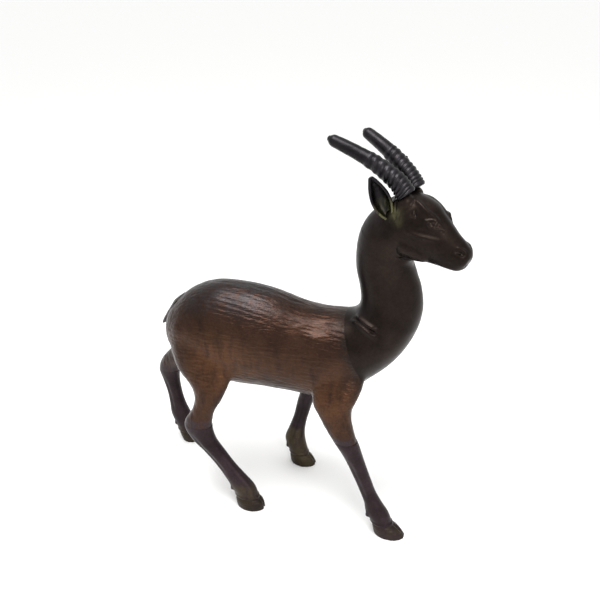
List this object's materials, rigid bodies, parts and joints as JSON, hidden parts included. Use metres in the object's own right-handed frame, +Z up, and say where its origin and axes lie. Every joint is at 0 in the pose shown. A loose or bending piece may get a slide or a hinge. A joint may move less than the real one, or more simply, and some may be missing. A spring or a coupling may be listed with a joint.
{
  "type": "bronze antelope statuette",
  "caption": "Free-standing bronze statuette of a walking antelope with ringed horns and turned head, cast in sections.",
  "frame": {"origin": "on the ground under the middle of the statue's bounding box", "axes": "+X the way the statue faces, +Y its left side, +Z up"},
  "size_m": [0.2524, 0.079, 0.2977],
  "materials": {
    "chased_bronze": "red-brown patina over chased hair strokes",
    "smooth_bronze": "smooth dark brown patina",
    "plum_bronze": "smooth purple-brown patina",
    "black_bronze": "near-black patina",
    "verdigris_bronze": "dark brown with green-gold verdigris",
    "olive_bronze": "dull olive-brown patina",
    "raw_bronze": "bare metal, inside the joints"
  },
  "bodies": {
    "root": {"torso": "chased_bronze", "neck": "smooth_bronze", "head": "smooth_bronze", "horn_right": "black_bronze", "horn_left": "black_bronze", "ear_right": "verdigris_bronze", "ear_left": "verdigris_bronze", "tail": "chased_bronze", "shank_right_fore": "plum_bronze", "shank_left_fore": "plum_bronze", "shank_right_hind": "plum_bronze", "shank_left_hind": "plum_bronze", "hoof_right_fore": "olive_bronze", "hoof_left_fore": "olive_bronze", "hoof_right_hind": "olive_bronze", "hoof_left_hind": "olive_bronze", "leg_dowels": "raw_bronze", "neck_band": "raw_bronze", "head_band": "raw_bronze"}
  },
  "joints": []
}
